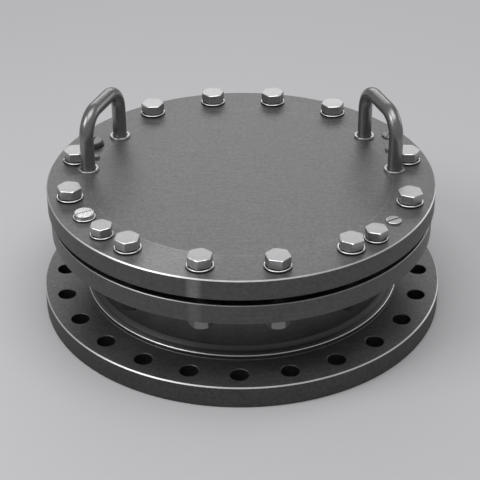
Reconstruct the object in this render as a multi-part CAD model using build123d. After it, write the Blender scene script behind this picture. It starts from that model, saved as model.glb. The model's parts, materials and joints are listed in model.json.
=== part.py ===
"""Bolted tank manway cover: a blind cover on a short flanged neck, standing on its base flange.

Millimetres, +Z up. The origin is the centre of the base flange's underside and the front is -Y.
The neck is a length of pipe slipped into two plate flanges and welded inside and out. The cover
sits on a flat ring gasket and is held by through bolts with nuts. Two jack screws start the
cover off its gasket, four low slotted plugs close the eyebolt holes, and two bent bars welded
to the cover are the lifting handles. Beside each handle a short pin takes an earthing lead.
"""

import os
from math import cos, hypot, radians, sin, sqrt

from build123d import *

# Neck: a length of pipe
neck_diameter = 508.0
neck_wall = 10.0
neck_clear_height = 105.0  # between the two flanges
slip_on_clearance = 0.5  # radial, pipe in flange bore
pipe_set_back = 6.0  # pipe ends short of each flange's mating face
upper_weld_leg = 8.0  # under the neck flange
inner_weld_leg = 5.0
weld_crown = 0.8  # how far a weld bead bulges past its straight face
hub_weld_height = 10.0  # from the hub up the pipe
hub_weld_to_bevel = 0.7  # its foot to the hub's bevel
hub_weld_hollow = 1.6  # how far it dips below its straight face
weld_clearance = 0.05  # radial, bead to the pipe it follows

# Base flange, which bolts to the tank
base_thickness = 38.0
base_hub_width = 14.0  # beyond the pipe
base_hub_height = 8.0
base_hub_bevel = 1.5
base_hub_to_hole = 23.5  # hub to the edge of a bolt hole
base_hole_diameter = 30.0
base_hole_count = 24
base_hole_to_rim = 19.5
base_rim_bevel = 2.5

# Neck flange and cover
neck_flange_thickness = 34.0
neck_flange_inset = 3.5  # its rim lies inside the cover's
neck_flange_bevel = 1.5
raised_face_width = 16.0  # beyond the pipe
raised_face_height = 4.0
gasket_thickness = 4.0
gasket_inset = 1.0  # from both edges of the raised face
cover_thickness = 35.0
cover_rim_bevel = 2.5
lower_edge_bevel = 1.0
raised_face_to_hole = 6.0
hole_to_rim = 23.0
centre_groove_width = 1.6
centre_groove_depth = 0.6

# Cover bolts with washers and nuts
bolt_diameter = 24.0
bolt_length = 110.0
bolt_head_flats = 36.0
bolt_head_height = 16.5
bolt_hole_clearance = 1.0  # radial
# going round from the front by the right
bolt_angles = (11.75, 36.5, 72.0, 101.0, 145.5, 169.0, 191.0, 214.5, 259.0, 285.0, 323.5, 348.25)
bolt_tip_bevel = 2.0
washer_diameter = 44.0
washer_thickness = 4.0
washer_clearance = 0.5  # radial
washer_bevel = 0.6
nut_height = 24.0
thread_clearance = 0.08  # radial, between mating threads
hex_bevel_angle = 30.0
hex_face_share = 0.98  # width of the flat end face, as a share of the flats
# how far each head happened to be turned when tightened, going round from the front by the right
head_turns = (17.0, 1.0, 7.0, 30.0, 35.0, 40.0, 44.0, 35.0, 38.0, 21.0, 52.0, 50.0)
nut_turns = (34.0, 8.0, 47.0, 21.0, 55.0, 13.0, 38.0, 2.0, 27.0, 50.0, 16.0, 33.0)

# Jack screws, tapped through the cover
jack_diameter = 20.0
jack_length = 50.0
jack_head_flats = 32.0
jack_head_height = 15.0
jack_washer_diameter = 38.0
jack_washer_thickness = 3.5
# angle from the front, and how far outside the bolt circle
jack_spots = {"left": (-48.3, 0.0), "right": (46.4, 4.0)}
jack_turns = {"left": 59.0, "right": 13.0}

# Eyebolt-hole plugs: left ones on a sealing washer, right ones small
left_plug_thread = 24.0
left_plug_head_diameter = 32.0
left_plug_head_height = 6.5
left_plug_washer_diameter = 37.0
left_plug_washer_thickness = 3.0
right_plug_thread = 16.0
right_plug_head_diameter = 25.0
right_plug_head_height = 3.5
plug_edge_bevel = 1.2
plug_length = 20.0
plug_slot_width = 3.5
plug_slot_depth = 2.0
plug_hole_extra_depth = 4.0
# angle from the front, and how far outside the bolt circle
plug_spots = {
    ("left", "front"): (-61.0, -4.5),
    ("left", "rear"): (-113.5, -6.0),
    ("right", "front"): (58.4, -2.5),
    ("right", "rear"): (119.5, 9.0),
}
plug_turns = {"front": 30.0, "rear": 75.0}

# Handles: one bent bar each, spigoted into the cover and welded round
handle_bar_diameter = 24.0
handle_height = 108.0  # over the bar
handle_bend_radius = 39.0  # at the bar's centre line
handle_foot_inset = 29.3  # foot circle inside the bolt circle
handle_angles = (94.7, 123.8)
handle_spigot_diameter = 16.0
handle_spigot_length = 10.0
handle_spigot_clearance = 0.2
collar_width = 6.0
collar_height = 4.0
collar_bevel = 1.4

# Earthing pins, pressed into the cover behind each handle's front leg
pin_diameter = 12.0
pin_stand = 4.5  # above the cover
pin_depth = 10.0
pin_bevel = 1.0
pin_clearance = 0.05
pin_spots = {"left": (-104.5, -31.0), "right": (110.0, -18.0)}

# Heights, from the base flange up
base_top = base_thickness
hub_top = base_top + base_hub_height
neck_flange_bottom = base_top + neck_clear_height
neck_flange_top = neck_flange_bottom + neck_flange_thickness
gasket_bottom = neck_flange_top + raised_face_height
gasket_top = gasket_bottom + gasket_thickness
cover_bottom = gasket_top + raised_face_height
cover_top = cover_bottom + cover_thickness

# Radii, from the pipe outwards
neck_radius = neck_diameter / 2
neck_bore_radius = neck_radius - neck_wall
flange_bore_radius = neck_radius + slip_on_clearance
hub_radius = neck_radius + base_hub_width
base_hole_radius = base_hole_diameter / 2
base_bolt_circle_radius = hub_radius + base_hub_to_hole + base_hole_radius
base_radius = base_bolt_circle_radius + base_hole_radius + base_hole_to_rim
raised_face_radius = neck_radius + raised_face_width
bolt_radius = bolt_diameter / 2
bolt_hole_radius = bolt_radius + bolt_hole_clearance
bolt_circle_radius = raised_face_radius + raised_face_to_hole + bolt_hole_radius
cover_radius = bolt_circle_radius + bolt_hole_radius + hole_to_rim
neck_flange_radius = cover_radius - neck_flange_inset
handle_circle_radius = bolt_circle_radius - handle_foot_inset

cut_overrun = 1.0  # how far a cutter runs past the face it starts from


def on_circle(radius, angle, height=0.0):
    """Point at an angle from the front, positive towards the right."""
    return Vector(radius * sin(radians(angle)), -radius * cos(radians(angle)), height)


def places_of(spots):
    """Points for named pairs of an angle and a distance outside the bolt circle."""
    return {
        name: on_circle(bolt_circle_radius + offset, angle)
        for name, (angle, offset) in spots.items()
    }


def turned(points):
    """Solid turned about Z from a closed outline of (radius, height) points."""
    return revolve(Plane.XZ * make_face(Polyline(*points, close=True)), Axis.Z)


def ring(inner, outer, bottom, top, bevel=0.0):
    """Flat ring with its two outer edges bevelled."""
    return turned(
        [
            (inner, bottom),
            (outer - bevel, bottom),
            (outer, bottom + bevel),
            (outer, top - bevel),
            (outer - bevel, top),
            (inner, top),
        ]
        if bevel
        else [(inner, bottom), (outer, bottom), (outer, top), (inner, top)]
    )


def rod(radius, bottom, top):
    """Plain cylinder about Z between two heights."""
    on_its_end = (Align.CENTER, Align.CENTER, Align.MIN)
    return Pos(0, 0, bottom) * Cylinder(radius, top - bottom, align=on_its_end)


def at_each(tool, places):
    """Copies of a tool at several places."""
    return [Pos(place) * tool for place in places]


def weld_bead(radius, root, across, up, crown):
    """Fillet weld from its root corner at (radius, root), dressed to two flats.

    The legs run outwards and upwards, or inwards and downwards where they are negative. The flats
    meet in a low ridge, or in a hollow where the crown is negative.
    """
    lean = crown / hypot(across, up) * (1 if across * up > 0 else -1)
    return turned(
        [
            (radius, root),
            (radius + across, root),
            (radius + across / 2 + lean * up, root + up / 2 + lean * across),
            (radius, root + up),
        ]
    )


def hexagon(flats, height, turn, bevel_both_ends=False):
    """Hexagon bar end standing on Z = 0, corners bevelled on top and, for a nut, below."""
    corner_radius = flats / sqrt(3)
    face_radius = flats / 2 * hex_face_share
    drop = (corner_radius - face_radius) * sin(radians(hex_bevel_angle)) / cos(radians(hex_bevel_angle))
    foot_radius = face_radius if bevel_both_ends else corner_radius
    foot_rise = drop if bevel_both_ends else 0.0
    envelope = [(0, 0), (foot_radius, 0)]
    if foot_rise:
        envelope.append((corner_radius, foot_rise))
    envelope += [(corner_radius, height - drop), (face_radius, height), (0, height)]
    prism = extrude(RegularPolygon(flats / 2, 6, major_radius=False, rotation=turn), height)
    return prism & turned(envelope)


def hex_bolt(flats, head_height, turn, radius, length):
    """Hexagon-head bolt: head above Z = 0, shank with a bevelled tip below."""
    shank = turned(
        [
            (0, 0),
            (radius, 0),
            (radius, bolt_tip_bevel - length),
            (radius - bolt_tip_bevel, -length),
            (0, -length),
        ]
    )
    return hexagon(flats, head_height, turn) + shank


def slotted_plug(head_diameter, head_height, thread_diameter):
    """Low round plug: slotted head above Z = 0, thread below."""
    head_radius = head_diameter / 2
    thread_radius = thread_diameter / 2
    plug = turned(
        [
            (0, -plug_length),
            (thread_radius, -plug_length),
            (thread_radius, 0),
            (head_radius, 0),
            (head_radius, head_height - plug_edge_bevel),
            (head_radius - plug_edge_bevel, head_height),
            (0, head_height),
        ]
    )
    slot = Box(head_diameter + cut_overrun, plug_slot_width, plug_slot_depth + cut_overrun)
    slot_middle = head_height + (cut_overrun - plug_slot_depth) / 2
    return plug - Pos(0, 0, slot_middle) * slot


def base_flange():
    """Thick plate flange with a low hub round the pipe and a full circle of bolt holes."""
    outline = [
        (flange_bore_radius, 0),
        (base_radius - lower_edge_bevel, 0),
        (base_radius, lower_edge_bevel),
        (base_radius, base_top - base_rim_bevel),
        (base_radius - base_rim_bevel, base_top),
        (hub_radius, base_top),
        (hub_radius, hub_top - base_hub_bevel),
        (hub_radius - base_hub_bevel, hub_top),
        (flange_bore_radius, hub_top),
    ]
    plate = turned(outline)
    hole = rod(base_hole_radius, -cut_overrun, base_top + cut_overrun)
    pitch = 360 / base_hole_count
    places = [on_circle(base_bolt_circle_radius, pitch * number) for number in range(base_hole_count)]
    return plate - at_each(hole, places)


def neck_flange(bolt_places):
    """Slip-on flange with a raised gasket face."""
    outline = [
        (flange_bore_radius, neck_flange_bottom),
        (neck_flange_radius - lower_edge_bevel, neck_flange_bottom),
        (neck_flange_radius, neck_flange_bottom + lower_edge_bevel),
        (neck_flange_radius, neck_flange_top - neck_flange_bevel),
        (neck_flange_radius - neck_flange_bevel, neck_flange_top),
        (raised_face_radius, neck_flange_top),
        (raised_face_radius, gasket_bottom),
        (flange_bore_radius, gasket_bottom),
    ]
    hole = rod(bolt_hole_radius, neck_flange_bottom - cut_overrun, neck_flange_top + cut_overrun)
    return turned(outline) - at_each(hole, bolt_places)


def cover_plate(bolt_places, jack_places, plug_holes, spigot_places, pin_places):
    """Blind cover: raised face below, centring groove and bevelled rim on top."""
    outline = [
        (0, gasket_top),
        (raised_face_radius, gasket_top),
        (raised_face_radius, cover_bottom),
        (cover_radius - lower_edge_bevel, cover_bottom),
        (cover_radius, cover_bottom + lower_edge_bevel),
        (cover_radius, cover_top - cover_rim_bevel),
        (cover_radius - cover_rim_bevel, cover_top),
        (neck_radius + centre_groove_width / 2, cover_top),
        (neck_radius, cover_top - centre_groove_depth),
        (neck_radius - centre_groove_width / 2, cover_top),
        (0, cover_top),
    ]
    above = cover_top + cut_overrun
    bolt_hole = rod(bolt_hole_radius, cover_bottom - cut_overrun, above)
    jack_hole = rod(jack_diameter / 2 + thread_clearance, cover_bottom - cut_overrun, above)
    spigot_hole = rod(
        handle_spigot_diameter / 2 + handle_spigot_clearance,
        cover_top - handle_spigot_length - cut_overrun,
        above,
    )
    plate = turned(outline) - at_each(bolt_hole, bolt_places) - at_each(jack_hole, jack_places)
    plate -= at_each(spigot_hole, spigot_places)
    pin_hole = rod(pin_diameter / 2 + pin_clearance, cover_top - pin_depth, above)
    plate -= at_each(pin_hole, pin_places)
    for place, thread_diameter in plug_holes:
        floor = cover_top - plug_length - plug_hole_extra_depth
        plate -= Pos(place) * rod(thread_diameter / 2 + thread_clearance, floor, above)
    return plate


def handle(front_foot, rear_foot):
    """Bar bent to a U between its two feet, with a turned-down spigot on each leg."""
    span = hypot(rear_foot.X - front_foot.X, rear_foot.Y - front_foot.Y)
    along = (rear_foot - front_foot).normalized()
    upright = Plane(origin=front_foot, x_dir=along, z_dir=along.cross(Vector(0, 0, 1)))
    crown = handle_height - handle_bar_diameter / 2
    path = upright * FilletPolyline(
        (0, 0), (0, crown), (span, crown), (span, 0), radius=handle_bend_radius
    )
    bar = sweep(Plane(origin=front_foot, z_dir=(0, 0, 1)) * Circle(handle_bar_diameter / 2), path=path)
    spigot = rod(handle_spigot_diameter / 2, -handle_spigot_length, cut_overrun)
    for foot in (front_foot, rear_foot):
        bar += Pos(foot) * spigot
    return bar


def handle_collars(feet):
    """Welded collars round a handle's two feet, with bevelled top edges."""
    inner = handle_bar_diameter / 2 + weld_clearance
    outer = handle_bar_diameter / 2 + collar_width
    collar = turned(
        [
            (inner, 0),
            (outer, 0),
            (outer, collar_height - collar_bevel),
            (outer - collar_bevel, collar_height),
            (inner, collar_height),
        ]
    )
    return Compound(children=at_each(collar, feet))


def earthing_pins(places):
    """Short round pins with bevelled ends, standing in the cover."""
    radius = pin_diameter / 2
    pin = turned(
        [
            (0, cover_top - pin_depth),
            (radius, cover_top - pin_depth),
            (radius, cover_top + pin_stand - pin_bevel),
            (radius - pin_bevel, cover_top + pin_stand),
            (0, cover_top + pin_stand),
        ]
    )
    return Compound(children=at_each(pin, places))


bolt_places = [on_circle(bolt_circle_radius, angle) for angle in bolt_angles]
jack_places = places_of(jack_spots)
plug_places = places_of(plug_spots)
pin_places = places_of(pin_spots)
plug_threads = {"left": left_plug_thread, "right": right_plug_thread}
side_signs = {"left": -1, "right": 1}
handle_feet = {
    side: [on_circle(handle_circle_radius, sign * angle, cover_top) for angle in handle_angles]
    for side, sign in side_signs.items()
}
spigot_places = [Vector(foot.X, foot.Y, 0) for feet in handle_feet.values() for foot in feet]

nodes = {
    "base_flange": base_flange(),
    "neck_pipe": ring(neck_bore_radius, neck_radius, pipe_set_back, gasket_bottom - pipe_set_back),
    "neck_flange": neck_flange(bolt_places),
    "gasket": ring(
        flange_bore_radius + gasket_inset,
        raised_face_radius - gasket_inset,
        gasket_bottom,
        gasket_top,
    ),
    "cover_plate": cover_plate(
        bolt_places,
        jack_places.values(),
        [(place, plug_threads[side]) for (side, _), place in plug_places.items()],
        spigot_places,
        pin_places.values(),
    ),
    "earthing_pins": earthing_pins(pin_places.values()),
}

outer_weld_radius = neck_radius + weld_clearance
inner_weld_radius = flange_bore_radius - weld_clearance
hub_weld_width = hub_radius - base_hub_bevel - hub_weld_to_bevel - outer_weld_radius
pipe_top = gasket_bottom - pipe_set_back
nodes["base_outer_weld"] = weld_bead(
    outer_weld_radius, hub_top, hub_weld_width, hub_weld_height, -hub_weld_hollow
)
nodes["base_inner_weld"] = weld_bead(
    inner_weld_radius, pipe_set_back, -inner_weld_leg, -inner_weld_leg, weld_crown
)
nodes["neck_flange_outer_weld"] = weld_bead(
    outer_weld_radius, neck_flange_bottom, upper_weld_leg, -upper_weld_leg, weld_crown
)
nodes["neck_flange_inner_weld"] = weld_bead(
    inner_weld_radius, pipe_top, -inner_weld_leg, inner_weld_leg, weld_crown
)

washer_top = cover_top + washer_thickness
washer = ring(
    bolt_radius + washer_clearance, washer_diameter / 2, cover_top, washer_top, washer_bevel
)
for number, (place, head_turn, nut_turn) in enumerate(zip(bolt_places, head_turns, nut_turns), 1):
    bolt = hex_bolt(bolt_head_flats, bolt_head_height, head_turn, bolt_radius, bolt_length)
    nut = hexagon(bolt_head_flats, nut_height, nut_turn, bevel_both_ends=True)
    nut -= rod(bolt_radius + thread_clearance, -cut_overrun, nut_height + cut_overrun)
    nodes[f"cover_bolt_{number:02d}"] = Pos(place) * Pos(0, 0, washer_top) * bolt
    nodes[f"bolt_washer_{number:02d}"] = Pos(place) * washer
    nodes[f"nut_{number:02d}"] = Pos(place) * Pos(0, 0, neck_flange_bottom - nut_height) * nut

jack_washer_top = cover_top + jack_washer_thickness
jack_washer = ring(
    jack_diameter / 2 + washer_clearance,
    jack_washer_diameter / 2,
    cover_top,
    jack_washer_top,
    washer_bevel,
)
for side, place in jack_places.items():
    screw = hex_bolt(
        jack_head_flats, jack_head_height, jack_turns[side], jack_diameter / 2, jack_length
    )
    nodes[f"{side}_jack_screw"] = Pos(place) * Pos(0, 0, jack_washer_top) * screw
    nodes[f"{side}_jack_washer"] = Pos(place) * jack_washer

for (side, end), place in plug_places.items():
    if side == "left":
        plug = slotted_plug(left_plug_head_diameter, left_plug_head_height, left_plug_thread)
        seat = left_plug_washer_thickness
        nodes[f"left_{end}_plug_washer"] = Pos(place) * ring(
            left_plug_thread / 2 + washer_clearance,
            left_plug_washer_diameter / 2,
            cover_top,
            cover_top + seat,
            washer_bevel,
        )
    else:
        plug = slotted_plug(right_plug_head_diameter, right_plug_head_height, right_plug_thread)
        seat = 0.0
    head = Pos(place) * Pos(0, 0, cover_top + seat) * Rot(0, 0, plug_turns[end])
    nodes[f"{side}_{end}_plug"] = head * plug

for side, feet in handle_feet.items():
    nodes[f"{side}_handle"] = handle(*feet)
    nodes[f"{side}_handle_collars"] = handle_collars(feet)

os.makedirs("parts", exist_ok=True)
for name, shape in nodes.items():
    shape.label = name
    export_step(shape, f"parts/{name}.step")
    print(name, round(shape.volume))
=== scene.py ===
import json
from math import atan2, cos, dist, hypot, pi, radians, sin, sqrt, tan

import bmesh
import bpy
from mathutils import Matrix, Vector


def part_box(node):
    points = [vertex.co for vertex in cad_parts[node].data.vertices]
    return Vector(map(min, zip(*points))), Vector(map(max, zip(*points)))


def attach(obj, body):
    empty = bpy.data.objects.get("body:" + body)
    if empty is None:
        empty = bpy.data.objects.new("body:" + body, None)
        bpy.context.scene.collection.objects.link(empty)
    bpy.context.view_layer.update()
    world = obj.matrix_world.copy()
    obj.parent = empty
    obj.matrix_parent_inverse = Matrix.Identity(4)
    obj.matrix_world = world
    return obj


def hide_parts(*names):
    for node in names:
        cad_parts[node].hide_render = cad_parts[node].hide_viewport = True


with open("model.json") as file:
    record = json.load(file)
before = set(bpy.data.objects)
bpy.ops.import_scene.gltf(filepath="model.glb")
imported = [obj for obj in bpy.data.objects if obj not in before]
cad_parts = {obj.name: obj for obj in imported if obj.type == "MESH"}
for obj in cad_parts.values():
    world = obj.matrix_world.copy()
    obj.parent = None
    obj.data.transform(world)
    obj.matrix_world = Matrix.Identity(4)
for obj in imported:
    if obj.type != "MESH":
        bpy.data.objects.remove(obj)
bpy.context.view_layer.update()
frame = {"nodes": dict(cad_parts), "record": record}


# ---------------------------------------------------------------------------------------------
# Base flange: a thick plate ring turned from boiler plate, with a low hub round the neck and a
# circle of bolt holes. It is faced on top and turned on its rim, and left with a satin grey skin.
# Its rim is painted darker than its top, as shade, and the edges of its rim and hub are brighter,
# as wear and painted highlight.

class Field:
    """What a socket gives in a node tree. Arithmetic on it adds Math nodes."""

    def __init__(self, graph, socket):
        self.graph = graph
        self.socket = socket

    def math(self, operation, *others):
        return self.graph.add("ShaderNodeMath", {"operation": operation}, None, self, *others)

    def __add__(self, other):
        return self.math("ADD", other)

    __radd__ = __add__

    def __sub__(self, other):
        return self.math("SUBTRACT", other)

    def __rsub__(self, other):
        return self.graph.add("ShaderNodeMath", {"operation": "SUBTRACT"}, None, other, self)

    def __mul__(self, other):
        return self.math("MULTIPLY", other)

    __rmul__ = __mul__

    def __truediv__(self, other):
        return self.math("DIVIDE", other)

    def output(self, name):
        return Field(self.graph, self.socket.node.outputs[name])


class Graph:
    """Adds nodes to a shader or geometry tree."""

    def __init__(self, tree):
        self.tree = tree

    def add(self, kind, settings=None, named=None, *inputs):
        """A node from its type, its settings, and the values or links of its sockets."""
        node = self.tree.nodes.new(kind)
        for key, value in (settings or {}).items():
            setattr(node, key, value)
        given = {node.inputs[index]: value for index, value in enumerate(inputs)}
        for name, value in (named or {}).items():
            found = [s for s in node.inputs if s.identifier == name] or [node.inputs[name]]
            given[found[0]] = value
        for socket, value in given.items():
            if isinstance(value, Field):
                self.tree.links.new(value.socket, socket)
            elif value is not None:
                socket.default_value = value
        shown = [socket for socket in node.outputs if socket.enabled]
        return Field(self, shown[0] if shown else None) if shown else node

    def noise(self, vector, scale, detail=3.0, roughness=0.55):
        return self.add(
            "ShaderNodeTexNoise",
            None,
            {"Vector": vector, "Scale": scale, "Detail": detail, "Roughness": roughness},
        )

    def ramp(self, value, low, high, to_low, to_high):
        """Runs from one number to another as a value goes from low to high, and stays there."""
        return self.add(
            "ShaderNodeMapRange",
            {"clamp": True},
            {"Value": value, "From Min": low, "From Max": high, "To Min": to_low, "To Max": to_high},
        )


def bare_surface(name):
    """A material with nothing in it yet, and the graph of its nodes."""
    material = bpy.data.materials.new(name)
    material.use_nodes = True
    material.node_tree.nodes.clear()
    return material, Graph(material.node_tree)


def close_surface(graph, colour, roughness, metallic, bump, depth, height):
    """Ends a material in one shader with a fine relief."""
    normal = graph.add(
        "ShaderNodeBump", None, {"Strength": bump, "Distance": depth, "Height": height}
    )
    shader = graph.add(
        "ShaderNodeBsdfPrincipled",
        None,
        {"Base Color": colour, "Roughness": roughness, "Metallic": metallic, "Normal": normal},
    )
    out = graph.tree.nodes.new("ShaderNodeOutputMaterial")
    graph.tree.links.new(shader.socket, out.inputs["Surface"])


turning_marks = 420.0  # how close the turned lines lie, out from the axis
turning_drift = 2.2  # how much they change on their way round
drawing_marks = (900.0, 900.0, 26.0)  # long in Z, as the bar was drawn
forging_marks = 900.0
sanding_marks = (34.0, 520.0, 520.0)  # long in X, over level faces
cloud_scale = 13.0
spot_scale = 160.0
level_tilts = (0.45, 0.85)  # a face turns from standing to level between these; sets its grain and its painted side shade
painted_streak_core = 0.2  # the share of a painted highlight streak's spread that has its full gain
painted_sheen_core = 0.3
painted_sheen_edge = 0.002  # how sharply a painted sheen starts at its inner circle
cool_tint = 1.01  # blue, over red and green
line_gloss = 0.14  # how far the marks change the roughness
cloud_gloss = 0.12
relief_depth = 0.0004
axis_gap = 0.001  # keeps a division by the reach safe at the axis


def steel(
    name,
    shade,
    roughness,
    grain,
    painted_side_shade=None,
    mottle=0.10,
    bump=0.10,
    grit=0.10,
    rings=(),
    painted_streaks=(),
    painted_sheens=(),
):
    """Bare steel whose grain runs as it was turned, drawn or forged.

    Upright faces may be painted darker than level ones, as shade from the light above, with
    painted highlight streaks down them at some angles. Rings on a level face may be lighter or
    darker, some of them painted highlights, and a turned band may carry a painted sheen at some
    angles.
    """
    material, graph = bare_surface(name)
    coordinates = graph.add("ShaderNodeTexCoord")
    place = coordinates.output("Object")
    split = graph.add("ShaderNodeSeparateXYZ", None, None, place)
    x, y, z = split, split.output("Y"), split.output("Z")
    if grain == "turned":
        reach = (x * x + y * y).math("SQRT").math("MAXIMUM", axis_gap)
        around = graph.add(
            "ShaderNodeCombineXYZ",
            None,
            None,
            x / reach * turning_drift,
            y / reach * turning_drift,
            (reach + z) * turning_marks,
        )
        lines = graph.noise(around, 1.0, 4.0, 0.7)
    elif grain == "drawn":
        stretched = graph.add("ShaderNodeMapping", None, {"Vector": place, "Scale": drawing_marks})
        lines = graph.noise(stretched, 1.0, 3.0, 0.6)
    else:
        lines = graph.noise(place, forging_marks, 3.0, 0.6)
    cloud = graph.noise(place, cloud_scale, 4.0, 0.6)
    spots = graph.noise(place, spot_scale, 2.0, 0.5)
    base = shade
    if painted_side_shade is not None:
        tilt = graph.add("ShaderNodeSeparateXYZ", None, None, coordinates.output("Normal")).output("Z")
        level = graph.ramp(tilt.math("ABSOLUTE"), *level_tilts, 0.0, 1.0)
        sanded = graph.add("ShaderNodeMapping", None, {"Vector": place, "Scale": sanding_marks})
        strokes = graph.noise(sanded, 1.0, 3.0, 0.65)
        lines = lines + (strokes - lines) * level
        # Upright faces are painted darker than level ones, as shade.
        base = painted_side_shade + level * (shade - painted_side_shade)

    def painted_highlight_toward(angle, spread, core, gain):
        """A painted highlight gain that fades over a spread of degrees to both sides of an angle from the
        front.
        """
        facing = (x * sin(radians(angle)) - y * cos(radians(angle))) / reach
        return graph.ramp(facing, cos(radians(spread)), cos(radians(spread * core)), 0.0, gain)

    finish = 1.0 + (cloud - 0.5) * (2 * mottle) + (lines + spots - 1.0) * (2 * grit)
    for radius, width, gain in rings:
        away = ((reach - radius) / width).math("ABSOLUTE").math("MINIMUM", 1.0)
        finish = finish * (1.0 + gain * (1.0 - away))
    # Painted highlight streaks down the side faces, each at an angle from the front.
    for angle, spread, gain in painted_streaks:
        painted_streak = painted_highlight_toward(angle, spread, painted_streak_core, gain)
        finish = finish * (1.0 + painted_streak * (1.0 - level))
    # A painted sheen on the level faces of a turned band, outside a circle.
    for angle, spread, gain, inner in painted_sheens:
        painted_sheen = painted_highlight_toward(angle, spread, painted_sheen_core, gain)
        outside = graph.ramp(reach, inner - painted_sheen_edge, inner, 0.0, 1.0)
        finish = finish * (1.0 + painted_sheen * level * outside)
    value = finish * base
    colour = graph.add("ShaderNodeCombineColor", None, None, value, value, value * cool_tint)
    rough = roughness + (lines - 0.5) * line_gloss + (cloud - 0.5) * cloud_gloss
    relief = lines * 0.6 + spots * 0.4
    close_surface(graph, colour, rough, metallic=1.0, bump=bump, depth=relief_depth, height=relief)
    return material


rounding_steps = 4
large_sides = 192  # segments round a flange
merge_gap = 1e-6


def rounded(*corners):
    """Closed outline from (radius, height) corners; a third number rounds a corner."""
    points = []
    for before, here, after in zip(corners[-1:] + corners[:-1], corners, corners[1:] + corners[:1]):
        corner = Vector(here[:2])
        rounding = here[2] if len(here) > 2 else 0.0
        if not rounding:
            points.append(corner)
            continue
        back = (Vector(before[:2]) - corner).normalized()
        ahead = (Vector(after[:2]) - corner).normalized()
        half = back.angle(ahead) / 2
        centre = corner + (back + ahead).normalized() * (rounding / sin(half))
        first = corner + back * (rounding / tan(half)) - centre
        last = corner + ahead * (rounding / tan(half)) - centre
        for step in range(rounding_steps + 1):
            share = step / rounding_steps
            spread = first * (1 - share) + last * share
            points.append(centre + spread.normalized() * rounding)
    return points


def mesh_of(name, shape):
    """A plain mesh from a shape, with its faces turned outwards."""
    bmesh.ops.recalc_face_normals(shape, faces=shape.faces)
    mesh = bpy.data.meshes.new(name)
    shape.to_mesh(mesh)
    shape.free()
    return mesh


def turned_mesh(name, outline, around=large_sides, centre=(0.0, 0.0)):
    """Closed ring or disc turned about an upright axis from an outline of (radius, height)."""
    shape = bmesh.new()
    rings = []
    for number in range(around):
        angle = 2 * pi * number / around
        rings.append(
            [
                shape.verts.new((centre[0] + p[0] * cos(angle), centre[1] + p[0] * sin(angle), p[1]))
                for p in outline
            ]
        )
    count = len(outline)
    for number in range(around):
        here, there = rings[number], rings[(number + 1) % around]
        for index in range(count):
            after = (index + 1) % count
            on_axis = outline[index][0] < merge_gap and outline[after][0] < merge_gap
            if not on_axis:
                shape.faces.new((here[index], there[index], there[after], here[after]))
    bmesh.ops.remove_doubles(shape, verts=shape.verts, dist=merge_gap)
    return mesh_of(name, shape)


def in_scene(name, data):
    """An object in the scene that holds a mesh, a lamp or the camera."""
    piece = bpy.data.objects.new(name, data)
    bpy.context.scene.collection.objects.link(piece)
    return piece


edge_reach = 0.003  # how near an edge's circle its brighter faces lie
wear_and_highlight_tilts = (0.3, 0.94)  # an edge with wear and painted highlight slopes between these
flat_tilt = 0.9999
plain_smoothing = 32.0  # degrees; a sharper edge stays crisp


def dressed(piece, body, node, material, smoothing=plain_smoothing, edge=None, edge_circles=None):
    """Gives a piece its steel, crisp edges, brighter steel on its edges as wear and painted highlight, and
    its body.

    Every sloping face gets the brighter steel, or only those near the given circles and heights.
    """
    mesh = piece.data
    mesh.materials.clear()
    mesh.materials.append(material)
    if edge:
        mesh.materials.append(edge)
    mesh.shade_smooth()
    mesh.set_sharp_from_angle(angle=radians(smoothing))
    least, most = wear_and_highlight_tilts
    for face in mesh.polygons:
        tilt = abs(face.normal.z)
        spot = (hypot(face.center.x, face.center.y), face.center.z)
        near = edge_circles is None or any(dist(spot, circle) < edge_reach for circle in edge_circles)
        # Sloping faces near the circles take the brighter steel: wear and painted highlight.
        face.material_index = 1 if edge and near and least < tilt < most else 0
        if tilt > flat_tilt:
            face.use_smooth = False
    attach(piece, body)
    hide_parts(node)


def placed(name, mesh, body, node, material, smoothing=plain_smoothing, edge=None):
    """Puts a finished mesh in the scene for a CAD node, riding on its body."""
    dressed(in_scene(name, mesh), body, node, material, smoothing, edge)


def geometry_tree(name, inputs):
    """A geometry tree with named inputs after its geometry; returns the tree, graph and fields."""
    tree = bpy.data.node_groups.new(name, "GeometryNodeTree")
    tree.interface.new_socket("Geometry", in_out="INPUT", socket_type="NodeSocketGeometry")
    tree.interface.new_socket("Geometry", in_out="OUTPUT", socket_type="NodeSocketGeometry")
    for label, kind in inputs:
        tree.interface.new_socket(label, in_out="INPUT", socket_type="NodeSocket" + kind)
    source = tree.nodes.new("NodeGroupInput")
    graph = Graph(tree)
    fields = {label: Field(graph, source.outputs[label]) for label, _ in inputs}
    fields["Geometry"] = Field(graph, source.outputs["Geometry"])
    return tree, graph, fields


def close_tree(tree, graph, geometry, material):
    """Ends a geometry tree in realised geometry with its material set."""
    real = graph.add("GeometryNodeRealizeInstances", None, None, geometry)
    made = graph.add("GeometryNodeSetMaterial", None, {"Geometry": real, "Material": material})
    out = tree.nodes.new("NodeGroupOutput")
    tree.links.new(made.socket, out.inputs[0])


def grown(piece, tree, **values):
    """Runs a geometry tree on a piece and keeps the result as its plain mesh."""
    modifier = piece.modifiers.new(tree.name, "NODES")
    modifier.node_group = tree
    for socket in tree.interface.items_tree:
        if socket.in_out == "INPUT" and socket.name in values:
            modifier[socket.identifier] = values[socket.name]
    frozen(piece)


def frozen(piece):
    """Turns a piece's modifiers into plain mesh."""
    bpy.context.view_layer.update()
    shown = piece.evaluated_get(bpy.context.evaluated_depsgraph_get())
    mesh = bpy.data.meshes.new_from_object(shown)
    piece.modifiers.clear()
    piece.data = mesh


hole_sides = 48
drill_overrun = 0.01  # how far a drill passes the face that it starts or ends at


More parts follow.
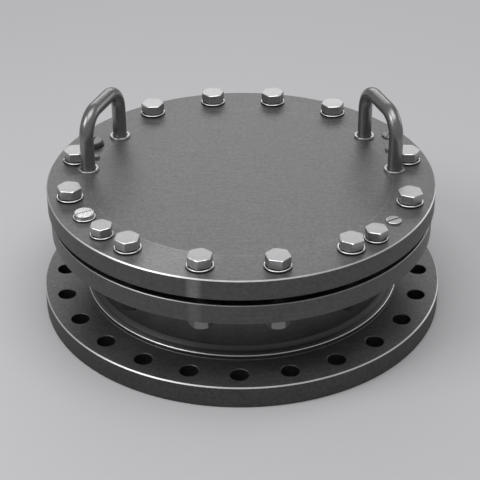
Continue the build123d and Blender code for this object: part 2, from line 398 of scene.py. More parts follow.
def drilling_tree(material):
    """Cuts a round hole through the geometry at every point of another object."""
    tree, graph, field = geometry_tree(
        "drilled_holes",
        [("Places", "Object"), ("Hole Radius", "Float"), ("Bottom", "Float"), ("Top", "Float")],
    )
    places = graph.add("GeometryNodeObjectInfo", None, {"Object": field["Places"]}).output("Geometry")
    length = field["Top"] - field["Bottom"]
    middle = (field["Top"] + field["Bottom"]) * 0.5
    drill = graph.add(
        "GeometryNodeMeshCylinder",
        {"fill_type": "NGON"},
        {"Vertices": hole_sides, "Radius": field["Hole Radius"], "Depth": length},
    )
    lift = graph.add("ShaderNodeCombineXYZ", None, {"Z": middle})
    raised = graph.add("GeometryNodeTransform", None, {"Geometry": drill, "Translation": lift})
    drills = graph.add("GeometryNodeInstanceOnPoints", None, {"Points": places, "Instance": raised})
    cutters = graph.add("GeometryNodeRealizeInstances", None, None, drills)
    cut = graph.add(
        "GeometryNodeMeshBoolean",
        {"operation": "DIFFERENCE", "solver": "EXACT"},
        {"Mesh 1": field["Geometry"], "Mesh 2": cutters},
    )
    close_tree(tree, graph, cut, material)
    return tree


def points_object(name, places):
    """A hidden set of points that a geometry tree reads."""
    mesh = bpy.data.meshes.new(name)
    mesh.from_pydata([(p[0], p[1], 0.0) for p in places], [], [])
    return bpy.data.objects.new(name, mesh)


def drilled(piece, drilling, places, radius, bottom, top):
    """Drills a piece from above, from over its top face down to a height."""
    spans = {"Hole Radius": radius, "Bottom": bottom, "Top": top + drill_overrun}
    grown(piece, drilling, Places=places, **spans)


def edge_broken(piece, width, angle=50.0):
    """Breaks the sharp edges of a machined piece with a small flat."""
    bevel = piece.modifiers.new("broken_edges", "BEVEL")
    bevel.width = width
    bevel.segments = 1
    bevel.limit_method = "ANGLE"
    bevel.angle_limit = radians(angle)
    bevel.use_clamp_overlap = True
    frozen(piece)


slip_on_clearance = 0.0005  # radial, between the pipe and a flange
hub_height = 0.008
hub_width = 0.014
lower_bevel = 0.001
machined_bevel = 0.0018  # on the rims of the base flange and the cover
hub_bevel = 0.0011
base_edge_flat = 0.0008

base_low, base_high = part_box("base_flange")
pipe_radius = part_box("neck_pipe")[1].x
base_radius = base_high.x
hub_radius = pipe_radius + hub_width
flange_bore_radius = pipe_radius + slip_on_clearance
base_top = base_high.z - hub_height
base_bolts = next(m for m in frame["record"]["mounts"] if m["name"] == "base_bolts")
hole_circle_radius = base_bolts["dims"]["pcd_mm"] / 2000
base_hole_radius = base_bolts["dims"]["hole_r_mm"] / 1000
base_hole_count = base_bolts["dims"]["count"]

# Its rim is painted darker than its top, as shade.
plate_steel = steel("base_flange_steel", 0.20, 0.54, "turned", painted_side_shade=0.092, mottle=0.14, grit=0.34)
# Bright steel for the rims' bevels: wear and painted highlight.
wear_and_highlight_steel = steel("worn_edge_steel", 0.70, 0.42, "forged", mottle=0.16)
base_outline = rounded(
    (flange_bore_radius, base_low.z),
    (base_radius - lower_bevel, base_low.z),
    (base_radius, base_low.z + lower_bevel),
    (base_radius, base_top - machined_bevel),
    (base_radius - machined_bevel, base_top),
    (hub_radius, base_top),
    (hub_radius, base_high.z - hub_bevel),
    (hub_radius - hub_bevel, base_high.z),
    (flange_bore_radius, base_high.z),
)
hole_angles = [2 * pi * number / base_hole_count for number in range(base_hole_count)]
hole_points = points_object(
    "base_hole_points",
    [(hole_circle_radius * sin(angle), -hole_circle_radius * cos(angle)) for angle in hole_angles],
)
base_flange = in_scene("base_flange_plate", turned_mesh("base_flange_plate", base_outline))
base_drilling = drilling_tree(plate_steel)
drilled(base_flange, base_drilling, hole_points, base_hole_radius, base_low.z - drill_overrun, base_top)
edge_broken(base_flange, base_edge_flat)
dressed(
    base_flange,
    "base",
    "base_flange",
    plate_steel,
    edge=wear_and_highlight_steel,
    edge_circles=[(base_radius, base_top), (hub_radius, base_high.z)],
)


# ---------------------------------------------------------------------------------------------
# Neck: a length of rolled steel pipe, slipped into the bores of both flanges and welded there.
# It is left as it was rolled, duller than the machined plates.

pipe_wall = 0.010
neck_low, neck_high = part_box("neck_pipe")
neck_steel = steel("neck_pipe_steel", 0.12, 0.46, "turned", mottle=0.2, grit=0.2)
neck_outline = rounded(
    (pipe_radius - pipe_wall, neck_low.z),
    (pipe_radius, neck_low.z),
    (pipe_radius, neck_high.z),
    (pipe_radius - pipe_wall, neck_high.z),
)
neck_mesh = turned_mesh("neck_pipe_shell", neck_outline)
placed("neck_pipe_shell", neck_mesh, "base", "neck_pipe", neck_steel)


# ---------------------------------------------------------------------------------------------
# Weld beads: fillets laid round the pipe outside and inside at both flanges. The one on the hub
# is dressed to a smooth hollow; the others keep the ripples of the welding rod.

bead_steps_round = 960
bead_steps_across = 8
ripple_count = 300
seam_gap = 0.00002  # the bead's ends and its root are joined over this


def bead_tree(material):
    """A bead swept round a circle, from its root out to its two toes, with ripples along it."""
    tree, graph, field = geometry_tree(
        "weld_bead",
        [
            ("Circle", "Float"),
            ("Height", "Float"),
            ("Across", "Float"),
            ("Up", "Float"),
            ("Crown", "Float"),
            ("Ripple", "Float"),
        ],
    )
    grid = graph.add(
        "GeometryNodeMeshGrid",
        None,
        {
            "Size X": 1.0,
            "Size Y": 1.0,
            "Vertices X": bead_steps_round + 1,
            "Vertices Y": bead_steps_across + 1,
        },
    )
    split = graph.add("ShaderNodeSeparateXYZ", None, None, graph.add("GeometryNodeInputPosition"))
    turn = (split + 0.5) * (2 * pi)
    section = split.output("Y") + 0.5
    # three quarters of the section run over the bead's face, the last quarter back by its root
    face = (section * (4.0 / 3.0)).math("MINIMUM", 1.0)
    back = ((section - 0.75) * 4.0).math("MAXIMUM", 0.0)
    swell = (face * pi).math("SINE")
    ripple = ((turn * (ripple_count / 2)).math("SINE").math("ABSOLUTE") - 0.5) * field["Ripple"]
    gain = 1.0 + swell * (field["Crown"] + ripple)
    reach = field["Circle"] + field["Across"] * (1.0 - face) * gain * (1.0 - back)
    height = field["Height"] + field["Up"] * face * gain * (1.0 - back)
    shifted = graph.add(
        "ShaderNodeCombineXYZ", None, None, reach * turn.math("COSINE"), reach * turn.math("SINE"), height
    )
    laid = graph.add("GeometryNodeSetPosition", None, {"Geometry": grid, "Position": shifted})
    merged = graph.add("GeometryNodeMergeByDistance", None, {"Geometry": laid, "Distance": seam_gap})
    close_tree(tree, graph, merged, material)
    return tree


weld_steel = steel("weld_bead_steel", 0.30, 0.36, "forged", mottle=0.2, bump=0.25)
# the dressed bead has a painted highlight at its toe on the hub: the ring's radius, its spread and its gain
toe_highlight_ring = (hub_radius - 0.002, 0.005, 1.4)
dressed_weld_steel = steel("dressed_weld_steel", 0.085, 0.50, "turned", mottle=0.15, rings=[toe_highlight_ring])
welds = bead_tree(weld_steel)
bead_clearance = 0.00005
bead_smoothing = 50.0
inner_circle = flange_bore_radius - bead_clearance
outer_circle = pipe_radius + bead_clearance
flange_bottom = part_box("neck_flange")[0].z
inner_leg = 0.005
upper_leg = 0.008
hub_leg = 0.0118
hub_weld_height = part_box("base_outer_weld")[1].z - base_high.z
# legs point away from the root; crown is the swell of the face, hollow below zero
bead_runs = (
    ("base_outer", "base_outer_weld", outer_circle, base_high.z, hub_leg, hub_weld_height, -0.22, 0.0),
    ("base_inner", "base_inner_weld", inner_circle, neck_low.z, -inner_leg, -inner_leg, 0.18, 0.08),
    ("neck_outer", "neck_flange_outer_weld", outer_circle, flange_bottom, upper_leg, -upper_leg, 0.12, 0.05),
    ("neck_inner", "neck_flange_inner_weld", inner_circle, neck_high.z, -inner_leg, inner_leg, 0.18, 0.08),
)
for place, node, circle, height, across, up, crown, ripple in bead_runs:
    bead = in_scene(place + "_bead", bpy.data.meshes.new(place + "_bead"))
    legs = {"Circle": circle, "Height": height, "Across": across, "Up": up}
    grown(bead, welds, Crown=crown, Ripple=ripple, **legs)
    shape = bmesh.new()
    shape.from_mesh(bead.data)
    bmesh.ops.recalc_face_normals(shape, faces=shape.faces)
    shape.to_mesh(bead.data)
    shape.free()
    finish = dressed_weld_steel if node == "base_outer_weld" else weld_steel
    dressed(bead, "base", node, finish, bead_smoothing)


# ---------------------------------------------------------------------------------------------
# Neck flange: the slip-on flange under the cover, turned from thick plate, with a raised gasket
# face and a clearance hole for each cover bolt. It is welded round the neck's upper end. Its rim
# is painted darker than its top as shade, with a painted highlight streak down it, and its top
# edge is brighter, as wear and a dimmed painted highlight.

flange_low, flange_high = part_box("neck_flange")
gasket_low, gasket_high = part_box("gasket")
raised_face_height = 0.004
raised_face_margin = 0.001  # beyond the gasket
flange_bevel = 0.0011
flange_edge_flat = 0.0005
painted_streak_highlight = (-12.1, 2.4)  # a painted highlight streak down both rims: its angle and its spread to each side

flange_radius = flange_high.x
face_radius = gasket_high.x + raised_face_margin
flange_top = flange_high.z - raised_face_height
# Its rim is painted darker than its top as shade, with a painted highlight streak down it.
flange_steel = steel(
    "neck_flange_steel", 0.19, 0.42, "turned", painted_side_shade=0.115, grit=0.25, painted_streaks=[(*painted_streak_highlight, 0.35)]
)
# A darker copy of the edge steel: wear and a dimmed painted highlight on the rim under the cover.
soft_edge_steel = steel("soft_edge_steel", 0.33, 0.42, "forged", mottle=0.16)
flange_outline = rounded(
    (flange_bore_radius, flange_low.z),
    (flange_radius - lower_bevel, flange_low.z),
    (flange_radius, flange_low.z + lower_bevel),
    (flange_radius, flange_top - flange_bevel),
    (flange_radius - flange_bevel, flange_top),
    (face_radius, flange_top),
    (face_radius, flange_high.z),
    (flange_bore_radius, flange_high.z),
)
bolt_names = [n for n in sorted(frame["nodes"]) if n.startswith("cover_bolt_")]


def middle_of(node):
    """The centre of a CAD node's box."""
    low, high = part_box(node)
    return (low + high) / 2


bolt_radius = 0.012
bolt_hole_radius = bolt_radius + 0.001
bolt_places = [middle_of(n.replace("cover_bolt", "bolt_washer")) for n in bolt_names]
bolt_points = points_object("bolt_hole_points", bolt_places)
neck_flange = in_scene("neck_flange_plate", turned_mesh("neck_flange_plate", flange_outline))
flange_drilling = drilling_tree(flange_steel)
drilled(
    neck_flange, flange_drilling, bolt_points, bolt_hole_radius, flange_low.z - drill_overrun, flange_high.z
)
edge_broken(neck_flange, flange_edge_flat)
dressed(
    neck_flange,
    "base",
    "neck_flange",
    flange_steel,
    edge=soft_edge_steel,
    edge_circles=[(flange_radius, flange_top)],
)


# ---------------------------------------------------------------------------------------------
# Gasket: a flat ring cut from black rubber sheet, laid on the neck flange's raised face and
# squeezed there by the cover's.

bloom_scale = 60.0
rubber_grain = 500.0


def rubber(name):
    """Matt black sheet rubber with a faint dusty bloom."""
    material, graph = bare_surface(name)
    place = graph.add("ShaderNodeTexCoord").output("Object")
    bloom = graph.noise(place, bloom_scale)
    value = 0.012 + bloom * 0.012
    colour = graph.add("ShaderNodeCombineColor", None, None, value, value, value)
    rough = 0.75 + bloom * 0.15
    relief = graph.noise(place, rubber_grain)
    close_surface(graph, colour, rough, metallic=0.0, bump=0.2, depth=0.0003, height=relief)
    return material


gasket_margin = 0.0015  # from the pipe to the gasket's bore
gasket_rounding = 0.0008
gasket_rubber = rubber("gasket_rubber_sheet")
gasket_bore = pipe_radius + gasket_margin
gasket_outline = rounded(
    (gasket_bore, gasket_low.z),
    (gasket_high.x, gasket_low.z, gasket_rounding),
    (gasket_high.x, gasket_high.z, gasket_rounding),
    (gasket_bore, gasket_high.z),
)
gasket_mesh = turned_mesh("gasket_ring", gasket_outline)
placed("gasket_ring", gasket_mesh, "base", "gasket", gasket_rubber)


# ---------------------------------------------------------------------------------------------
# Cover plate: a blind disc of the same plate with a bevelled rim and a thin turned groove over
# the pipe. Its top is sanded, with a painted sheen outside the groove on the front left and a
# painted highlight along the groove. Its rim is painted darker than its top as shade, with a
# painted highlight streak down it, and its top edge is brighter, as wear and painted highlight.

groove_half = 0.0008
groove_depth = 0.00015
groove_highlight = (0.0014, 0.30)  # the painted highlight along the groove: its spread and its gain
seat_band = (0.004, 0.062, -0.03)  # a slightly darker rim: its inset, its spread and its gain
split_radius = 0.12  # splits the disc's top, so that its faces aren't too long
jack_radius = 0.010
plug_radii = {"left": 0.012, "right": 0.008}
thread_clearance = 0.00008
plug_hole_depth = 0.024

cover_low, cover_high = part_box("cover_plate")
cover_radius = cover_high.x
cover_top = cover_high.z
cover_bottom = cover_low.z + raised_face_height
band_inset, band_width, band_gain = seat_band
# Its rim is painted darker than its top as shade, with a painted highlight streak down it; the sheen and the
# line along the groove are painted highlights.
cover_steel = steel(
    "cover_plate_steel",
    0.222,
    0.50,
    "turned",
    painted_side_shade=0.122,
    mottle=0.14,
    grit=0.27,
    rings=[(pipe_radius, *groove_highlight), (cover_radius - band_inset, band_width, band_gain)],
    painted_streaks=[(*painted_streak_highlight, 1.0)],
    painted_sheens=[(-22.0, 17.0, 0.45, pipe_radius)],
)
cover_outline = rounded(
    (0.0, cover_low.z),
    (face_radius, cover_low.z),
    (face_radius, cover_bottom),
    (cover_radius - lower_bevel, cover_bottom),
    (cover_radius, cover_bottom + lower_bevel),
    (cover_radius, cover_top - machined_bevel),
    (cover_radius - machined_bevel, cover_top),
    (pipe_radius + groove_half, cover_top),
    (pipe_radius, cover_top - groove_depth),
    (pipe_radius - groove_half, cover_top),
    (split_radius, cover_top),
    (0.0, cover_top),
)
cover_plate = in_scene("cover_plate_disc", turned_mesh("cover_plate_disc", cover_outline))
jack_names = ["left_jack_screw", "right_jack_screw"]
jack_places = [middle_of(n.replace("screw", "washer")) for n in jack_names]
jack_points = points_object("jack_hole_points", jack_places)
plug_names = {side: [f"{side}_front_plug", f"{side}_rear_plug"] for side in ("left", "right")}
cover_drilling = drilling_tree(cover_steel)
below_cover = cover_low.z - drill_overrun
drilled(cover_plate, cover_drilling, bolt_points, bolt_hole_radius, below_cover, cover_top)
drilled(cover_plate, cover_drilling, jack_points, jack_radius + thread_clearance, below_cover, cover_top)
plug_bottom = cover_top - plug_hole_depth
for side, names in plug_names.items():
    plug_points = points_object(f"{side}_plug_points", [middle_of(n) for n in names])
    plug_hole_radius = plug_radii[side] + thread_clearance
    drilled(cover_plate, cover_drilling, plug_points, plug_hole_radius, plug_bottom, cover_top)
dressed(
    cover_plate,
    "cover",
    "cover_plate",
    cover_steel,
    edge=wear_and_highlight_steel,
    edge_circles=[(cover_radius, cover_top)],
)


# ---------------------------------------------------------------------------------------------
# Washers: flat punched rings with rolled-over edges, plated bright, one under each bolt head,
# jack screw and left-hand plug. Each is painted dark as shadow on its side and round the head on
# it, and brighter on its top outside the head, as wear and painted highlight. The rear plug's
# washer is dull, painted dark as shadow on its top and side.

washer_under_rounding = 0.0005
washer_top_rounding = 0.0014
level_normal = 0.99
side_normal = 0.3
small_sides = 72  # segments round a small turned piece

# Its sides are painted a little darker than its level faces, as shade.
fastener_steel = steel("fastener_steel", 0.46, 0.38, "forged", painted_side_shade=0.40, mottle=0.16, bump=0.25)
# Bright steel on bolt edges, washer tops and front plug edges: wear and painted highlight.
bright_wear_and_highlight_steel = steel("bright_edge_steel", 0.85, 0.30, "forged", mottle=0.10)
painted_shadow_steel = steel("grimed_steel", 0.04, 0.55, "forged", mottle=0.3)
dull_steel = steel("dull_steel", 0.22, 0.42, "forged", mottle=0.15)


def washer(node, body, bore, head_radius, finish=fastener_steel, edge=bright_wear_and_highlight_steel):
    """A flat ring with its outer edge rolled over, painted dark as shadow on its side and round the head on
    it.
    """
    low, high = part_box(node)
    middle = (low + high) / 2
    radius = (high.x - low.x) / 2
    outline = rounded(
        (bore, low.z),
        (radius, low.z, washer_under_rounding),
        (radius, high.z, washer_top_rounding),
        (head_radius, high.z),
        (bore, high.z),
    )
    mesh = turned_mesh(node + "_ring", outline, small_sides, middle)
    placed(node + "_ring", mesh, body, node, finish, edge=edge)
    mesh.materials.append(painted_shadow_steel)
    # The top outside the head takes the edge steel; the top under the head and the side take painted shadow.
    for face in mesh.polygons:
        away = hypot(face.center.x - middle.x, face.center.y - middle.y)
        if face.normal.z > level_normal:
            face.material_index = 1 if away > head_radius else 2
        elif face.normal.z < side_normal:
            face.material_index = 2


washer_clearance = 0.0005
# how far out each head covers its washer; inside it the washer is painted dark as shadow
bolt_head_radius = 0.0196
jack_head_radius = 0.0172
plug_head_radius = 0.0165
bolt_washer_bore = bolt_radius + washer_clearance
for number in range(1, len(bolt_names) + 1):
    washer(f"bolt_washer_{number:02d}", f"bolt_{number:02d}", bolt_washer_bore, bolt_head_radius)
for side in ("left", "right"):
    washer(
        f"{side}_jack_washer", f"{side}_jack_screw", jack_radius + washer_clearance, jack_head_radius
    )
plug_washer_bore = plug_radii["left"] + washer_clearance
washer("left_front_plug_washer", "left_front_plug", plug_washer_bore, plug_head_radius)
# The rear washer's edge steel is painted shadow too.
washer(
    "left_rear_plug_washer", "left_rear_plug", plug_washer_bore, plug_head_radius, dull_steel, painted_shadow_steel
)


# ---------------------------------------------------------------------------------------------
# Cover bolts, jack screws and nuts: forged hexagons with bevelled corners, and rolled threads on
# the shanks. The two front nuts are bare; the rest are painted near black, as the shade under the
# flange. The bolts' and screws' sloping faces are brighter, as wear and painted highlight.

hexagon_steps = 72  # points round a hexagon
corner_share = 0.985  # of a sharp corner's reach
head_face_share = 0.538  # radius of the head's level face, as a share of its flats
head_slope = 30.0
head_edge = 0.0006  # the rounding of the face's edge
brow_share = 0.3  # how far that rounding passes the face, as a share of it
head_seat = 0.0013  # height of the turned ring that the head stands on
seat_share = 0.465  # radius of that ring, as a share of the flats
shank_fillet = 0.001
core_depths = (0.0011, 0.0016)  # the core under the thread's top and tip, below the shank's surface
core_lead = 0.0014
tip_bevel = (0.0026, 0.002)  # in, and along
thread_root = 0.0019  # the thread ridge's foot and crest, below the shank's surface
thread_crest = 0.0017
crest_dip = 0.0001
thread_tip_gap = 0.003
thread_run_out = 0.004
foot_half = 0.45  # half the ridge's width at its foot and crest, in pitches
crest_half = 0.08
thread_steps = 40  # steps in each turn


def hexagon_rim(flats):
    """Directions round a hexagon and its reach in each, with slightly rounded corners."""
    corner = flats / sqrt(3)
    rim = []
    for number in range(hexagon_steps):
        angle = 2 * pi * number / hexagon_steps
        off = (angle + pi / 6) % (pi / 3) - pi / 6
        rim.append((angle, min(flats / 2 / cos(off), corner * corner_share)))
    return rim


def rim_rows(shape, rim, rows):
    """Rings of vertices round a hexagon's axis, one for each row of (reach, height)."""
    return [
        [
            shape.verts.new((reach * cos(angle), reach * sin(angle), height))
            for (angle, _), (reach, height) in zip(rim, row)
        ]
        for row in rows
    ]


def bolt_mesh(flats, head_height, radius, length, thread_length, pitch):
    """Hexagon bolt with its head above Z = 0 and a threaded shank below."""
    shape = bmesh.new()
    rim = hexagon_rim(flats)
    around = len(rim)
    face = flats * head_face_share
    brow = head_edge * brow_share
    slope = tan(radians(head_slope))
    thread_top = thread_length - length
    core_top, core_tip = core_depths
    tip_in, tip_along = tip_bevel
    rows = [
        [(min(face, reach) - 2 * head_edge, head_height) for _, reach in rim],
        [(min(face, reach) - head_edge, head_height) for _, reach in rim],
        [(min(face, reach) + brow, head_height - head_edge) for _, reach in rim],
        [(reach, head_height - head_edge - max(0.0, reach - face - brow) * slope) for _, reach in rim],
        [(reach, head_seat) for _, reach in rim],
        [(flats * seat_share, head_seat)] * around,
        [(flats * seat_share, 0.0)] * around,
        [(radius + shank_fillet, 0.0)] * around,
        [(radius, -shank_fillet)] * around,
        [(radius, thread_top)] * around,
        [(radius - core_top, thread_top - core_lead)] * around,
        [(radius - core_tip, tip_along - length)] * around,
        [(radius - tip_in, -length)] * around,
    ]
    grid = rim_rows(shape, rim, rows)
    for upper, lower in zip(grid, grid[1:]):
        for number in range(around):
            after = (number + 1) % around
            shape.faces.new((upper[number], lower[number], lower[after], upper[after]))
    shape.faces.new(grid[0])
    shape.faces.new(grid[-1])
    # rolled thread: a ridge that climbs the shank
    turns = (thread_length - thread_run_out) / pitch
    previous = None
    count = int(turns * thread_steps)
    for step in range(count + 1):
        angle = 2 * pi * step / thread_steps
        z = thread_tip_gap - length + pitch * step / thread_steps
        fade = min(1.0, step / thread_steps, (count - step) / thread_steps)
        foot = radius - thread_root
        crest = radius - thread_crest + thread_crest * fade - crest_dip
        ridge = (
            (foot, -foot_half * pitch),
            (crest, -crest_half * pitch),
            (crest, crest_half * pitch),
            (foot, foot_half * pitch),
        )
        ring = [shape.verts.new((r * cos(angle), r * sin(angle), z + rise)) for r, rise in ridge]
        if previous:
            for index in range(len(ring)):
                after = (index + 1) % len(ring)
                shape.faces.new((previous[index], ring[index], ring[after], previous[after]))
        else:
            shape.faces.new(ring)
        previous = ring
    shape.faces.new(previous)
    return mesh_of("hex_bolt", shape)


def moved(mesh, place, turn):
    """Turns and places a mesh made at the origin."""
    mesh = mesh.copy()
    mesh.transform(Matrix.Translation(place) @ Matrix.Rotation(turn, 4, "Z"))
    return mesh


def turn_of(node):
    """How far a hexagon is turned, read from its widest corner in the frame."""
    middle = middle_of(node)
    best = max(
        (hypot(v.co.x - middle.x, v.co.y - middle.y), v.co.x - middle.x, v.co.y - middle.y)
        for v in frame["nodes"][node].data.vertices
    )
    return atan2(best[2], best[1])


hexagon_smoothing = 24.0
bolt_size = {"flats": 0.036, "radius": bolt_radius, "thread_length": 0.054, "pitch": 0.003}
jack_size = {"flats": 0.032, "radius": jack_radius, "thread_length": 0.044, "pitch": 0.0025}


def fitted_bolt(name, washer_name, body, size):
    """Puts a hexagon screw on its washer, turned as the frame has it."""
    low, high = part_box(name)
    place = middle_of(washer_name)
    place.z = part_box(washer_name)[1].z
    blank = bolt_mesh(head_height=high.z - place.z, length=place.z - low.z, **size)
    mesh = moved(blank, place, turn_of(name))
    mesh.name = name + "_forging"
    # Its sloping edges take the bright steel: wear and painted highlight.
    placed(mesh.name, mesh, body, name, fastener_steel, hexagon_smoothing, bright_wear_and_highlight_steel)


for number, name in enumerate(bolt_names, 1):
    fitted_bolt(name, f"bolt_washer_{number:02d}", f"bolt_{number:02d}", bolt_size)
for side in ("left", "right"):
    fitted_bolt(f"{side}_jack_screw", f"{side}_jack_washer", f"{side}_jack_screw", jack_size)

nut_face_share = 0.45
nut_slope = 35.0
nut_edge = 0.0002
thread_mouth = 0.0012


def nut_mesh(flats, height, bore):
    """Hexagon nut standing on Z = 0, corners bevelled at both ends."""
    shape = bmesh.new()
    rim = hexagon_rim(flats)
    around = len(rim)
    face = flats * nut_face_share
    slope = tan(radians(nut_slope))
    mouth = bore + thread_mouth
    rows = [
        [(bore, thread_mouth)] * around,
        [(mouth, 0.0)] * around,
        [(face, 0.0)] * around,
        [(reach, (reach - face) * slope + nut_edge) for _, reach in rim],
        [(reach, height - (reach - face) * slope - nut_edge) for _, reach in rim],
        [(face, height)] * around,
        [(mouth, height)] * around,
        [(bore, height - thread_mouth)] * around,
    ]
    grid = rim_rows(shape, rim, rows)
    for row, following in zip(grid, grid[1:] + grid[:1]):
        for number in range(around):
            after = (number + 1) % around
            shape.faces.new((row[number], row[after], following[after], following[number]))
    return mesh_of("hex_nut", shape)


nut_steel = steel("nut_steel", 0.26, 0.45, "forged", mottle=0.2, bump=0.2)
# Near black: the shade under the flange, painted on the nuts that stand there.
oxide_steel = steel("black_oxide_steel", 0.035, 0.50, "forged", mottle=0.2)
nut_low, nut_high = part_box("nut_01")
nut_blank = nut_mesh(bolt_size["flats"], nut_high.z - nut_low.z, bolt_radius + thread_clearance)
for number in range(1, len(bolt_names) + 1):
    name = f"nut_{number:02d}"
    place = middle_of(name)
    place.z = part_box(name)[0].z
    mesh = moved(nut_blank, place, turn_of(name))
    front = number in (1, len(bolt_names))
    # The front two are bare; the others take the painted shade.
    slot, finish = ("fastener_steel", nut_steel) if front else ("oxide_steel", oxide_steel)
    placed(name + "_forging", mesh, name, name, finish, hexagon_smoothing)


# ---------------------------------------------------------------------------------------------
# Plugs: low round steel heads with a screwdriver slot, screwed down to close the eyebolt holes.
# The left front one is bright and scratched; the rear ones have gone dull.

plug_tip_rounding = 0.001
plug_under_rounding = 0.0005
plug_top_rounding = 0.0016
plug_edge_flat = 0.0003
slot_width = 0.0035
slot_depth = 0.002
slot_overrun = 2.2  # length of the slot's cutter, in head radii
slot_turns = {"front": 30.0, "rear": 75.0}


def slotted_plug(name, node, seat, thread_radius, turn):
    """A slotted plug whose head stands on the cover or on its washer."""
    low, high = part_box(node)
    middle = (low + high) / 2
    head_radius = (high.x - low.x) / 2
    outline = rounded(
        (0.0, low.z),
        (thread_radius, low.z, plug_tip_rounding),
        (thread_radius, seat),
        (head_radius, seat, plug_under_rounding),
        (head_radius, high.z, plug_top_rounding),
        (0.0, high.z),
    )
    piece = in_scene(name, turned_mesh(name, outline, small_sides, middle))
    shape = bmesh.new()
    bmesh.ops.create_cube(shape, size=1.0)
    cutter_mesh = mesh_of("slot_cutter", shape)
    size = Matrix.Diagonal((head_radius * slot_overrun, slot_width, slot_depth * 2, 1.0))
    place = Matrix.Translation((middle.x, middle.y, high.z))
    cutter_mesh.transform(place @ Matrix.Rotation(turn, 4, "Z") @ size)
    cutter = bpy.data.objects.new("slot_cutter", cutter_mesh)
    cut = piece.modifiers.new("slot", "BOOLEAN")
    cut.operation = "DIFFERENCE"
    cut.object = cutter
    cut.solver = "EXACT"
    frozen(piece)
    edge_broken(piece, plug_edge_flat)
    bpy.data.objects.remove(cutter)
    return piece


shiny_steel = steel("shiny_plug_steel", 0.72, 0.28, "forged", mottle=0.9, bump=0.8)
plug_finishes = {"left_front_plug": shiny_steel, "right_front_plug": fastener_steel}
for side, names in plug_names.items():
    for end, name in zip(slot_turns, names):
        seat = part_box(name + "_washer")[1].z if side == "left" else cover_top
        plug = slotted_plug(name + "_head", name, seat, plug_radii[side], radians(slot_turns[end]))
        finish = plug_finishes.get(name, dull_steel)
        # The front plugs' edges take the bright steel: wear and painted highlight.
        edge = bright_wear_and_highlight_steel if end == "front" else None
        dressed(plug, name, name, finish, edge=edge)


# ---------------------------------------------------------------------------------------------
# Handles: round bar, drawn and bent to a U, stood on the cover and welded round at both feet.
# The weld is dressed to a low bright collar.

bar_radius = 0.012
bend_radius = 0.039
bend_steps = 20
bar_sides = 48
bar_smoothing = 50.0
handle_steel = steel("handle_bar_steel", 0.25, 0.29, "drawn", mottle=0.12)


def handle_tree(material):
    """Round bar swept along a U with rounded corners, from its two feet and its height."""
    tree, graph, field = geometry_tree(
        "bent_bar",
        [
            ("Front Foot", "Vector"),
            ("Rear Foot", "Vector"),
            ("Rise", "Float"),
            ("Bend", "Float"),
            ("Bar Radius", "Float"),
        ],
    )
    up = graph.add("ShaderNodeCombineXYZ", None, {"Z": field["Rise"]})
    front_top, rear_top = (
        graph.add("ShaderNodeVectorMath", {"operation": "ADD"}, None, field[foot], up)
        for foot in ("Front Foot", "Rear Foot")
    )
    line = graph.add("GeometryNodeMeshLine", None, {"Count": 4})
    index = graph.add("GeometryNodeInputIndex")
    place = field["Front Foot"]
    for number, corner in enumerate((front_top, rear_top, field["Rear Foot"]), 1):
        here = index.math("COMPARE", float(number), 0.1)
        place = graph.add(
            "ShaderNodeMix",
            {"data_type": "VECTOR"},
            {"Factor_Float": here, "A_Vector": place, "B_Vector": corner},
        )
    bent = graph.add("GeometryNodeSetPosition", None, {"Geometry": line, "Position": place})
    curve = graph.add("GeometryNodeMeshToCurve", None, None, bent)
    soft = graph.add(
        "GeometryNodeFilletCurve",
        {"mode": "POLY"},
        {"Curve": curve, "Count": bend_steps, "Radius": field["Bend"], "Limit Radius": True},
    )
    section = graph.add(
        "GeometryNodeCurvePrimitiveCircle", None, {"Resolution": bar_sides, "Radius": field["Bar Radius"]}
    )
    bar = graph.add(
        "GeometryNodeCurveToMesh",
        None,
        {"Curve": soft, "Profile Curve": section, "Fill Caps": True},
    )
    close_tree(tree, graph, bar, material)
    return tree


bar_bending = handle_tree(handle_steel)
collar_steel = steel("handle_collar_steel", 0.42, 0.32, "forged", mottle=0.3, bump=0.3)
collar_radius = bar_radius + 0.006
collar_bore = bar_radius + 0.00005
collar_lip = 0.0016  # how far its top is cut back at the bar
collar_foot_rounding = 0.0003
collar_top_rounding = 0.0014
collar_lip_rounding = 0.0005
collar_sides = 64
for side in ("left", "right"):
    name = f"{side}_handle"
    low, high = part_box(name)
    toward_rear = 1.0 if side == "left" else -1.0
    outer_x, inner_x = (low.x, high.x) if side == "left" else (high.x, low.x)
    front = Vector((outer_x + toward_rear * bar_radius, low.y + bar_radius, cover_top))
    rear = Vector((inner_x - toward_rear * bar_radius, high.y - bar_radius, cover_top))
    bar = in_scene(name + "_bar", bpy.data.meshes.new(name + "_bar"))
    rise = high.z - cover_top - bar_radius
    feet = {"Front Foot": front, "Rear Foot": rear, "Bar Radius": bar_radius}
    grown(bar, bar_bending, Rise=rise, Bend=bend_radius, **feet)
    dressed(bar, "cover", name, handle_steel, bar_smoothing)
    collar_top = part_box(name + "_collars")[1].z
    collar_outline = rounded(
        (collar_bore, cover_top),
        (collar_radius, cover_top, collar_foot_rounding),
        (collar_radius, collar_top, collar_top_rounding),
        (bar_radius + collar_lip, collar_top, collar_lip_rounding),
        (collar_bore, collar_top - collar_lip),
    )
    joined = bmesh.new()
    for foot in (front, rear):
        joined.from_mesh(turned_mesh("collar", collar_outline, collar_sides, foot))
    collars = mesh_of(name + "_foot_rings", joined)
    placed(name + "_foot_rings", collars, "cover", name + "_collars", collar_steel)


# ---------------------------------------------------------------------------------------------
# Earthing pins: two short turned pins pressed into the cover beside the handles' front legs,
# rounded on top.

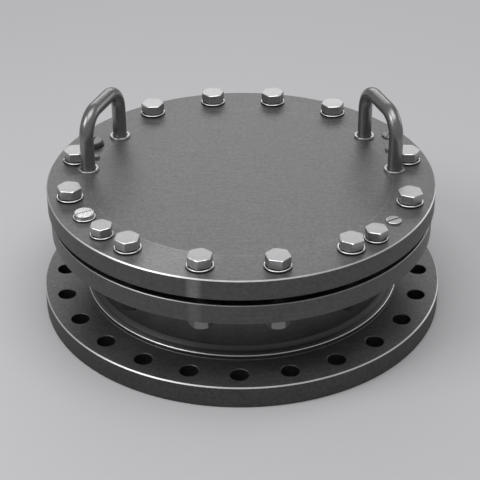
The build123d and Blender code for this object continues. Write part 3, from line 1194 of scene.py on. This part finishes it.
pin_radius = 0.006
pin_rounding = 0.0018
pin_sides = 48
pin_slack = 1.01  # a pin's own corners lie within this many radii
pins_low, pins_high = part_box("earthing_pins")
pin_corners = [v.co for v in frame["nodes"]["earthing_pins"].data.vertices]
pin_outline = rounded(
    (0.0, pins_low.z),
    (pin_radius, pins_low.z),
    (pin_radius, pins_high.z, pin_rounding),
    (0.0, pins_high.z),
)
pins = bmesh.new()
for x in (pins_low.x + pin_radius, pins_high.x - pin_radius):
    near = [corner.y for corner in pin_corners if abs(corner.x - x) <= pin_radius * pin_slack]
    middle = (x, (min(near) + max(near)) / 2)
    pins.from_mesh(turned_mesh("pin", pin_outline, pin_sides, middle))
pin_pair = mesh_of("earthing_pin_pair", pins)
placed("earthing_pin_pair", pin_pair, "cover", "earthing_pins", dull_steel)


# ---------------------------------------------------------------------------------------------
# Stage: a pale seamless floor, soft lamps from above, the left and behind with a faint low one
# behind on the right, and the camera.

floor_reach = 12.0
floor_mesh = bpy.data.meshes.new("floor")
floor_corners = [(x * floor_reach, y * floor_reach, 0) for x, y in ((-1, -1), (1, -1), (1, 1), (-1, 1))]
floor_mesh.from_pydata(floor_corners, [], [(0, 1, 2, 3)])
floor = in_scene("floor", floor_mesh)
floor_paint = bpy.data.materials.new("pale_floor")
floor_paint.use_nodes = True
floor_shader = floor_paint.node_tree.nodes["Principled BSDF"]
floor_shader.inputs["Base Color"].default_value = (0.61, 0.61, 0.62, 1.0)
floor_shader.inputs["Roughness"].default_value = 0.9
floor_shader.inputs["Specular IOR Level"].default_value = 0.0
floor_mesh.materials.append(floor_paint)


def softbox(name, place, target, width, depth, power):
    """A rectangular lamp that faces a point."""
    lamp = bpy.data.lights.new(name, "AREA")
    lamp.shape = "RECTANGLE"
    lamp.size = width
    lamp.size_y = depth
    lamp.energy = power
    holder = in_scene(name, lamp)
    holder.location = place
    holder.rotation_euler = (Vector(target) - Vector(place)).to_track_quat("-Z", "Y").to_euler()


middle = Vector((0.0, 0.0, 0.12))
softbox("overhead_softbox", (0.15, -0.3, 2.4), middle, 1.8, 1.4, 18.5)
softbox("left_softbox", (-1.5, -0.8, 1.9), middle, 1.1, 1.1, 15.0)
softbox("rear_softbox", (-0.15, 3.2, 1.8), middle, 2.6, 1.1, 16.0)
softbox("low_softbox", (2.2, 1.3, 0.75), middle, 1.0, 0.8, 3.5)

world = bpy.data.worlds.new("studio")
bpy.context.scene.world = world
world.use_nodes = True
world.node_tree.nodes["Background"].inputs["Color"].default_value = (0.8, 0.8, 0.81, 1.0)
world.node_tree.nodes["Background"].inputs["Strength"].default_value = 0.5

camera_distance = 7.212 * cover_radius
camera_elevation = radians(28.72)
camera_look_down = radians(31.361)
camera_swing = radians(1.2)
camera_side = -0.039 * cover_radius
camera_yaw = 0.0049
camera_roll = -0.0075
camera = bpy.data.cameras.new("camera")
camera.sensor_width = 36.0
camera.lens = 104.55
eye = Vector(
    (
        camera_side,
        -camera_distance * cos(camera_elevation),
        cover_top + camera_distance * sin(camera_elevation),
    )
)
level_ahead = Vector((sin(camera_yaw), cos(camera_yaw), 0.0))
ahead = level_ahead * cos(camera_look_down) - Vector((0.0, 0.0, sin(camera_look_down)))
right = Vector((cos(camera_yaw), -sin(camera_yaw), 0.0))
upward = right.cross(ahead)
right, upward = (
    right * cos(camera_roll) + upward * sin(camera_roll),
    upward * cos(camera_roll) - right * sin(camera_roll),
)
swing = Matrix.Rotation(camera_swing, 4, "Z")
facing = Matrix((right, upward, -ahead)).transposed().to_4x4()
holder = in_scene("camera", camera)
holder.matrix_world = swing @ Matrix.Translation(eye) @ facing
bpy.context.scene.camera = holder
bpy.context.scene.view_settings.view_transform = "Standard"
